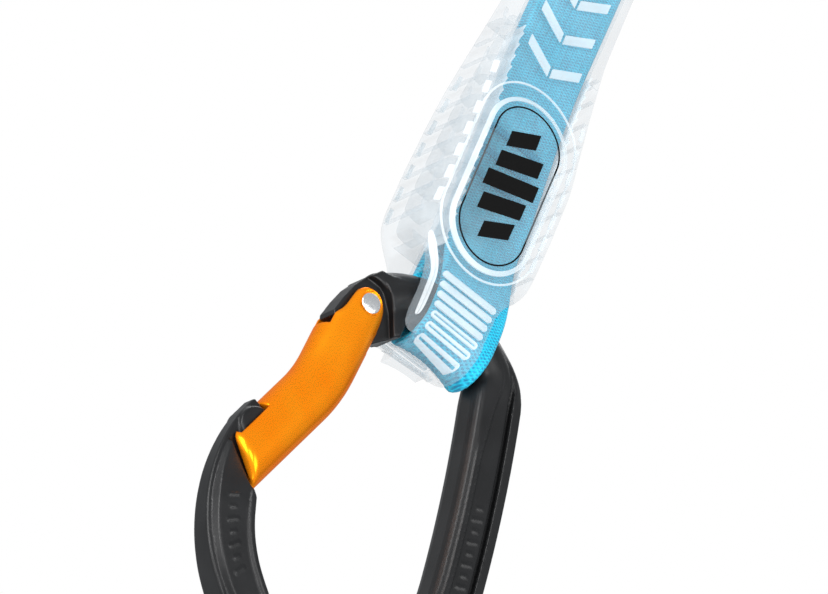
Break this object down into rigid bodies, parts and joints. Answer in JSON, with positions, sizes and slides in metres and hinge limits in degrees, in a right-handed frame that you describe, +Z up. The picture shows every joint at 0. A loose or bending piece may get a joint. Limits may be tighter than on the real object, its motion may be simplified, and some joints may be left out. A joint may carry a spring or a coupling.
{
  "type": "climbing quickdraw",
  "caption": "Climbing quickdraw: straight-gate and bent-gate forged carabiners joined by a sewn sling with a translucent rubber keeper.",
  "frame": {"origin": "inner contact point of the upper carabiner's crook, where the bolt hanger bears", "axes": "+Z up along the hanging quickdraw, +X from the gates to the spines, carabiners in the XZ plane, -Y the printed face of the keeper"},
  "size_m": [0.0592, 0.0168, 0.33],
  "materials": {
    "black_anodised": "matte black anodised forging",
    "orange_anodised": "satin orange anodised tube",
    "grey_anodised": "satin grey anodised tube",
    "rivet_steel": "polished domed stainless steel",
    "spring_steel": "drawn stainless wire and turned plunger",
    "webbing": "blue woven polyamide tape",
    "thread": "white bonded sewing thread",
    "clear_rubber": "translucent frosted elastomer",
    "label": "plain woven white label"
  },
  "bodies": {
    "upper_carabiner": {"upper_carabiner_body": "black_anodised"},
    "upper_gate": {"upper_gate": "grey_anodised", "upper_gate_rivet": "rivet_steel", "upper_gate_spring": "spring_steel"},
    "upper_plunger": {"upper_gate_plunger": "spring_steel"},
    "sling_loop": {"sling_upper_loop": "webbing"},
    "sling": {"sling_webbing": "webbing", "upper_bar_tacks": "thread", "middle_bar_tacks": "thread", "lower_bar_tacks": "thread", "rubber_keeper": "clear_rubber", "sling_label": "label"},
    "lower_carabiner": {"lower_carabiner_body": "black_anodised"},
    "lower_gate": {"lower_gate": "orange_anodised", "lower_gate_rivet": "rivet_steel", "lower_gate_spring": "spring_steel"},
    "lower_plunger": {"lower_gate_plunger": "spring_steel"}
  },
  "joints": [
    {"name": "upper_gate_hinge", "type": "hinge", "parent": "upper_carabiner", "child": "upper_gate", "pos_m": [-0.02324, 0, -0.0688], "axis": [0, 1, 0], "range_deg": [0, 30], "stiffness_Nm_per_rad": 0.03, "springref_deg": -57.3},
    {"name": "upper_plunger_slide", "type": "slide", "parent": "upper_gate", "child": "upper_plunger", "axis": [-0.2002, 0, 0.9798], "range_m": [0, 0.00245], "deforming": ["upper_gate_spring"]},
    {"name": "loop_swing", "type": "hinge", "parent": "upper_carabiner", "child": "sling_loop", "pos_m": [-0.00605, 0, -0.0745], "axis": [0, 1, 0], "range_deg": [-5, 5]},
    {"name": "sling_bend", "type": "hinge", "parent": "sling_loop", "child": "sling", "pos_m": [-0.00524, 0, -0.1049], "axis": [1, 0, 0], "range_deg": [-60, 60]},
    {"name": "lower_carabiner_swing", "type": "hinge", "parent": "sling", "child": "lower_carabiner", "pos_m": [-0.00605, 0, -0.2363], "axis": [0, 1, 0], "range_deg": [-5, 5], "stiffness_Nm_per_rad": 0.3},
    {"name": "lower_gate_hinge", "type": "hinge", "parent": "lower_carabiner", "child": "lower_gate", "pos_m": [-0.02324, 0, -0.242], "axis": [0, -1, 0], "range_deg": [0, 30], "stiffness_Nm_per_rad": 0.03, "springref_deg": -57.3},
    {"name": "lower_plunger_slide", "type": "slide", "parent": "lower_gate", "child": "lower_plunger", "axis": [-0.0349, 0, -0.9994], "range_m": [0, 0.00245], "deforming": ["lower_gate_spring"]}
  ],
  "couplings": [
    {"joint": "upper_plunger_slide", "follows": "upper_gate_hinge", "m_per_rad": 0.00458},
    {"joint": "lower_plunger_slide", "follows": "lower_gate_hinge", "m_per_rad": 0.00458}
  ]
}
